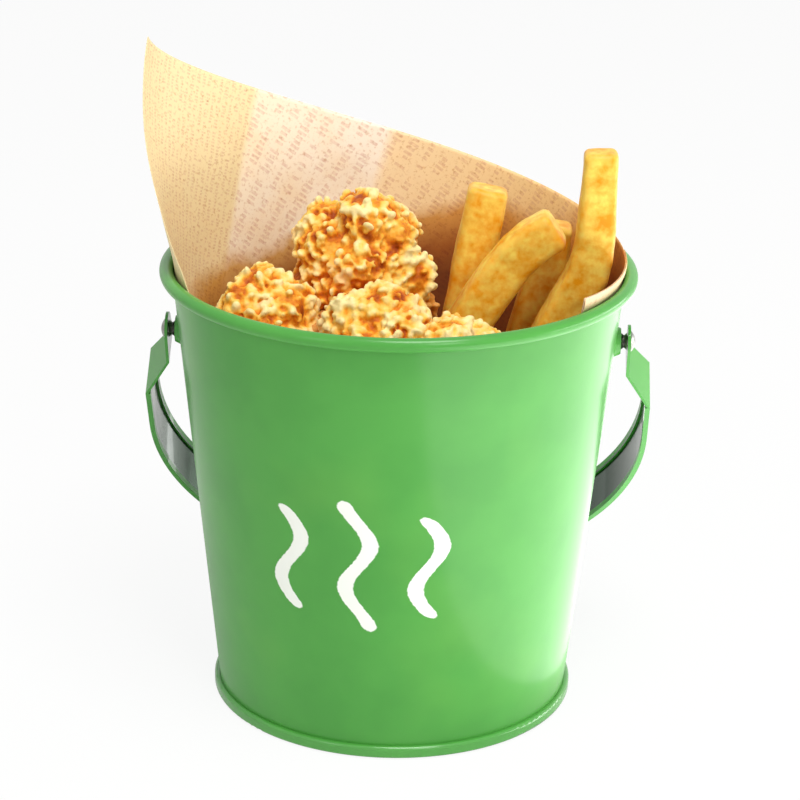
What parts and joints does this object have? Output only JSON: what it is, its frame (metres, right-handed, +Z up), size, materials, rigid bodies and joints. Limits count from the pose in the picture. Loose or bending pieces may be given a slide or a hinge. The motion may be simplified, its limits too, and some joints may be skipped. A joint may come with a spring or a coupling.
{
  "type": "fried chicken bucket",
  "caption": "Tapered painted-metal serving pail with rolled rim and swinging strap handle, holding a curled paper sheet, fried chicken pieces and thick-cut fries.",
  "frame": {"origin": "centre of the foot's resting plane", "axes": "+Z up, +X through the right ear along the handle's pivots, -Y to the front, with the handle hanging at the back (+Y)"},
  "size_m": [0.1406, 0.13, 0.1839],
  "materials": {
    "green_paint": "glossy baked lacquer",
    "rivet_steel": "plated, satin",
    "paper": "matt greaseproof paper",
    "fried_crust": "rough fried crust",
    "fried_potato": "soft fried potato"
  },
  "bodies": {
    "pail": {"pail_body": "green_paint", "base_plate": "green_paint", "left_rivet": "rivet_steel", "right_rivet": "rivet_steel", "paper_liner": "paper", "chicken_low_right": "fried_crust", "chicken_low_left": "fried_crust", "chicken_low_front": "fried_crust", "chicken_under_fries": "fried_crust", "chicken_mid_left": "fried_crust", "chicken_mid_front_left": "fried_crust", "chicken_mid_front_right": "fried_crust", "chicken_core": "fried_crust", "chicken_shaded": "fried_crust", "chicken_inner": "fried_crust", "chicken_left": "fried_crust", "chicken_middle": "fried_crust", "chicken_front": "fried_crust", "chicken_right": "fried_crust", "fry_back": "fried_potato", "fry_leaning": "fried_potato", "fry_shaded": "fried_potato", "fry_tall": "fried_potato"},
    "handle": {"handle": "green_paint"}
  },
  "joints": [
    {"name": "handle_swing", "type": "hinge", "parent": "pail", "child": "handle", "pos_m": [0, 0, 0.104], "axis": [1, 0, 0], "range_deg": [0, 105]}
  ]
}
